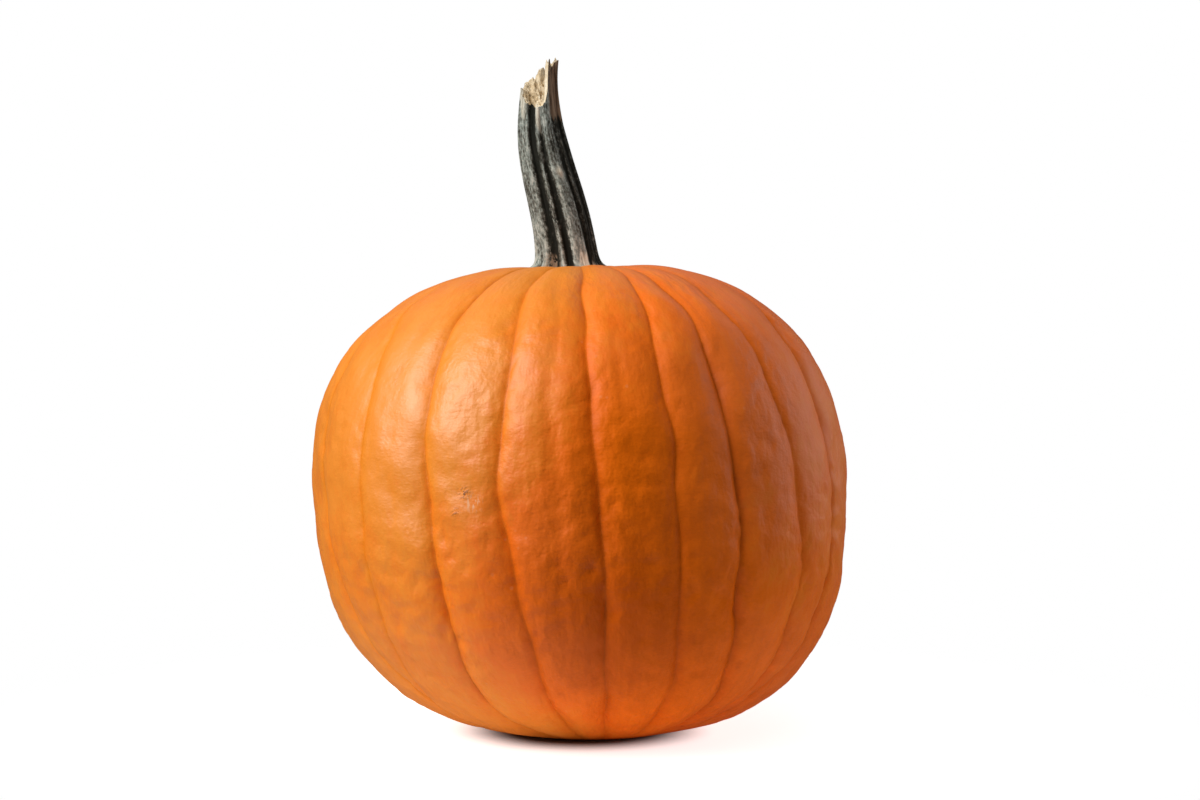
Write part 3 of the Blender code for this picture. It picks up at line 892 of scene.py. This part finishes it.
class PUMPKIN_PG_stage(bpy.types.PropertyGroup):
    """The floor, the lights and the camera."""

    floor_radius: length_setting("Floor radius", "Radius of the pale floor", 0.30)
    floor_glow: share_setting("Floor glow", "How brightly the floor glows", 0.24, 5.0)
    floor_lift: share_setting("Floor lift", "How much paler the floor looks to the camera", 0.55, 5.0)
    floor_mirror: share_setting("Floor mirror", "How much of the floor shows in reflections", 0.06)
    floor_colour: colour_setting("Floor", "Colour of the floor", (0.86, 0.86, 0.86))
    key_power: power_setting("Key light", "Power of the key light", 31.5)
    side_power: power_setting("Side light", "Power of the side light", 19.0)
    top_power: power_setting("Top light", "Power of the light above", 4.0)
    back_power: power_setting("Back light", "Power of the light behind", 2.5)
    ambient: share_setting("Ambient", "Strength of the light from all round", 0.06, 10.0)
    lens: FloatProperty(name="Lens", description="Focal length of the camera", default=100.0,
                        subtype="DISTANCE_CAMERA")
    camera_distance: length_setting("Camera distance", "From the camera to the fruit's middle", 1.55)
    camera_height: length_setting("Camera height", "Height of the camera above the floor", 0.2724)
    camera_side: length_setting("Camera side", "How far the camera stands to the right", 0.0081)
    aim_height: length_setting("Aim height", "Height that the camera aims at", 0.1554)


# ---- Operators ----


class PUMPKIN_OT_fruit(bpy.types.Operator):
    """Builds the ribbed fruit in place of the CAD fruit"""

    bl_idname = "pumpkin.fruit"
    bl_label = "Fruit"
    bl_options = {"REGISTER", "UNDO"}

    def execute(self, context):
        settings = context.scene.pumpkin_fruit
        mesh = ring_mesh("rind", *make_rind(settings))
        add_piece(mesh, rind_material(settings), "fruit")
        return {"FINISHED"}


class PUMPKIN_OT_stem(bpy.types.Operator):
    """Builds the woody stem with its broken end in place of the CAD stem"""

    bl_idname = "pumpkin.stem"
    bl_label = "Stem"
    bl_options = {"REGISTER", "UNDO"}

    def execute(self, context):
        settings = context.scene.pumpkin_stem
        rings, values, vectors = make_stem(settings)
        mesh = ring_mesh("stem_wood", rings, values, vectors)
        add_piece(mesh, bark_material(settings), "stem")
        mesh.materials.append(wood_material(settings))
        on_face = np.arange(len(rings) - 1) >= STEM_ROWS - 1
        quad_slots = np.repeat(on_face, STEM_COLUMNS)
        slots = np.concatenate([quad_slots, np.zeros(STEM_COLUMNS), np.ones(STEM_COLUMNS)])
        mesh.polygons.foreach_set("material_index", slots.astype(np.int32))
        return {"FINISHED"}


class PUMPKIN_OT_stage(bpy.types.Operator):
    """Sets up the pale floor, the soft lights and the camera"""

    bl_idname = "pumpkin.stage"
    bl_label = "Stage"
    bl_options = {"REGISTER", "UNDO"}

    def execute(self, context):
        settings = context.scene.pumpkin_stage
        make_floor(settings)
        make_lights(settings)
        make_world(settings)
        make_camera(settings)
        return {"FINISHED"}


# ---- Stage ----


FLOOR_SIDES = 96            # corners of each ring of the floor
FLOOR_RINGS = 24
CONTACT = (0.034, 0.064)    # between these distances from its middle the floor's glow fades in, which leaves a painted contact shadow under the fruit
# Lights: name, power setting, share of it, bearing and elevation in degrees, distance, width and height,
# colour, and whether reflections show it
LIGHTS = [
    ("key", "key_power", 1.0, -62.0, 38.0, 1.6, (1.25, 1.15), (1.0, 0.97, 0.93), True),
    ("side", "side_power", 0.28, 112.0, 14.0, 1.9, (2.0, 1.1), (1.0, 0.98, 0.97), True),
    ("side_dull", "side_power", 0.72, 112.0, 14.0, 1.9, (2.0, 1.1), (1.0, 0.98, 0.97), False),
    ("top", "top_power", 1.0, 22.0, 55.0, 1.6, (1.0, 1.0), (1.0, 0.98, 0.97), False),
    ("back", "back_power", 1.0, 175.0, 42.0, 1.7, (2.2, 1.0), (1.0, 1.0, 1.0), True),
]


def make_floor(settings):
    """Makes a round pale floor whose edge fades out into the white surroundings."""
    around = np.arange(FLOOR_SIDES) * 2.0 * pi / FLOOR_SIDES
    radii = np.linspace(0.02, settings.floor_radius, FLOOR_RINGS)
    rings = radii[:, None, None] * np.stack([np.cos(around), np.sin(around), 0.0 * around], axis=-1)[None]
    corners = np.arange((FLOOR_RINGS - 1) * FLOOR_SIDES).reshape(-1, FLOOR_SIDES)
    beside = np.roll(corners, -1, axis=1)
    faces = np.stack([corners, corners + FLOOR_SIDES, beside + FLOOR_SIDES, beside], axis=-1).reshape(-1, 4)
    centre = FLOOR_RINGS * FLOOR_SIDES
    fan = [(centre, int(first), int(second)) for first, second in zip(corners[0], beside[0])]
    mesh = bpy.data.meshes.new("floor")
    mesh.from_pydata([*rings.reshape(-1, 3).tolist(), (0.0, 0.0, 0.0)], [], faces.tolist() + fan)
    mesh.materials.append(floor_material(settings))
    floor = bpy.data.objects.new("floor", mesh)
    bpy.context.scene.collection.objects.link(floor)


def floor_material(settings):
    """Matt pale floor that glows a little, except under the fruit, where the missing glow leaves a painted
    contact shadow, and hardly shows in reflections.
    """
    finish = Finish("floor", 0.85)
    path = finish.tree.nodes.new("ShaderNodeLightPath")
    to_camera, reflected = path.outputs["Is Camera Ray"], path.outputs["Is Glossy Ray"]
    dim = [settings.floor_mirror * share for share in settings.floor_colour]
    finish.surface("Base Color", finish.mix(reflected, settings.floor_colour, dim))
    finish.surface("Emission Color", (1.0, 1.0, 1.0, 1.0))
    glow = finish.maths("MULTIPLY_ADD", to_camera, settings.floor_lift, settings.floor_glow)
    glow = finish.maths("MULTIPLY_ADD", reflected, -settings.floor_glow, glow)
    distance = finish.node("VectorMath", "Value", {0: finish.place()}, operation="LENGTH")
    # Painted contact shadow: no glow near the fruit
    glow = finish.times(glow, finish.spread(distance, *CONTACT))
    finish.surface("Emission Strength", glow)
    fade = finish.spread(distance, settings.floor_radius, 0.55 * settings.floor_radius)
    finish.surface("Alpha", fade)
    return finish.material


def make_lights(settings):
    """Adds the rectangular soft lights: a key at the left, a dim pair at the right, one above, one behind.

    Each points at the middle of the fruit from its bearing and elevation.
    """
    middle = (FRUIT_BOX[0] + FRUIT_BOX[1]) / 2.0
    for name, power, share, bearing, elevation, distance, size, colour, mirrored in LIGHTS:
        light = bpy.data.lights.new(name, "AREA")
        light.shape = "RECTANGLE"
        light.size, light.size_y = size
        light.energy = share * getattr(settings, power)
        light.color = colour
        holder = bpy.data.objects.new(name, light)
        turn, lift = radians(bearing), radians(elevation)
        direction = Vector((sin(turn) * cos(lift), -cos(turn) * cos(lift), sin(lift)))
        holder.location = middle + direction * distance
        holder.rotation_euler = direction.to_track_quat("Z", "Y").to_euler()
        holder.visible_glossy = mirrored
        bpy.context.scene.collection.objects.link(holder)


def make_world(settings):
    """Makes white surroundings that light the pumpkin only dimly."""
    world = bpy.data.worlds.new("studio")
    world.use_nodes = True
    nodes, links = world.node_tree.nodes, world.node_tree.links
    background = nodes["Background"]
    background.inputs["Color"].default_value = (1.0, 1.0, 1.0, 1.0)
    path = nodes.new("ShaderNodeLightPath")
    strength = nodes.new("ShaderNodeMapRange")
    strength.inputs["To Min"].default_value = settings.ambient
    strength.inputs["To Max"].default_value = 1.0
    links.new(path.outputs["Is Camera Ray"], strength.inputs["Value"])
    links.new(strength.outputs["Result"], background.inputs["Strength"])
    bpy.context.scene.world = world
    bpy.context.scene.view_settings.view_transform = "Standard"


def make_camera(settings):
    """Adds the camera in front of the better side, looking slightly down."""
    data = bpy.data.cameras.new("camera")
    data.lens = settings.lens
    camera = bpy.data.objects.new("camera", data)
    camera.location = (settings.camera_side, -settings.camera_distance, settings.camera_height)
    drop = np.arctan2(settings.camera_height - settings.aim_height, settings.camera_distance)
    camera.rotation_euler = Euler((pi / 2.0 - drop, 0.0, 0.0))
    bpy.context.scene.collection.objects.link(camera)
    bpy.context.scene.camera = camera


# ---- Panel and registration ----

OPERATORS = (PUMPKIN_OT_fruit, PUMPKIN_OT_stem, PUMPKIN_OT_stage)


class PUMPKIN_PT_panel(bpy.types.Panel):
    """Lists the pieces of the pumpkin and their settings"""

    bl_idname = "PUMPKIN_PT_panel"
    bl_label = "Pumpkin"
    bl_space_type = "VIEW_3D"
    bl_region_type = "UI"
    bl_category = "Pumpkin"

    def draw(self, context):
        scene = context.scene
        groups = (scene.pumpkin_fruit, scene.pumpkin_stem, scene.pumpkin_stage)
        for operator, settings in zip(OPERATORS, groups):
            box = self.layout.box()
            box.operator(operator.bl_idname)
            for name in settings.__annotations__:
                box.prop(settings, name)


CLASSES = (PUMPKIN_PG_fruit, PUMPKIN_PG_stem, PUMPKIN_PG_stage, *OPERATORS, PUMPKIN_PT_panel)


def register():
    """Registers the classes and gives the scene its settings."""
    for item in CLASSES:
        bpy.utils.register_class(item)
    bpy.types.Scene.pumpkin_fruit = PointerProperty(type=PUMPKIN_PG_fruit)
    bpy.types.Scene.pumpkin_stem = PointerProperty(type=PUMPKIN_PG_stem)
    bpy.types.Scene.pumpkin_stage = PointerProperty(type=PUMPKIN_PG_stage)


def unregister():
    """Removes the settings and the classes."""
    del bpy.types.Scene.pumpkin_stage
    del bpy.types.Scene.pumpkin_stem
    del bpy.types.Scene.pumpkin_fruit
    for item in reversed(CLASSES):
        bpy.utils.unregister_class(item)


def main():
    register()
    bpy.ops.pumpkin.stage()
    bpy.ops.pumpkin.fruit()
    bpy.ops.pumpkin.stem()


if __name__ == "__main__":
    main()
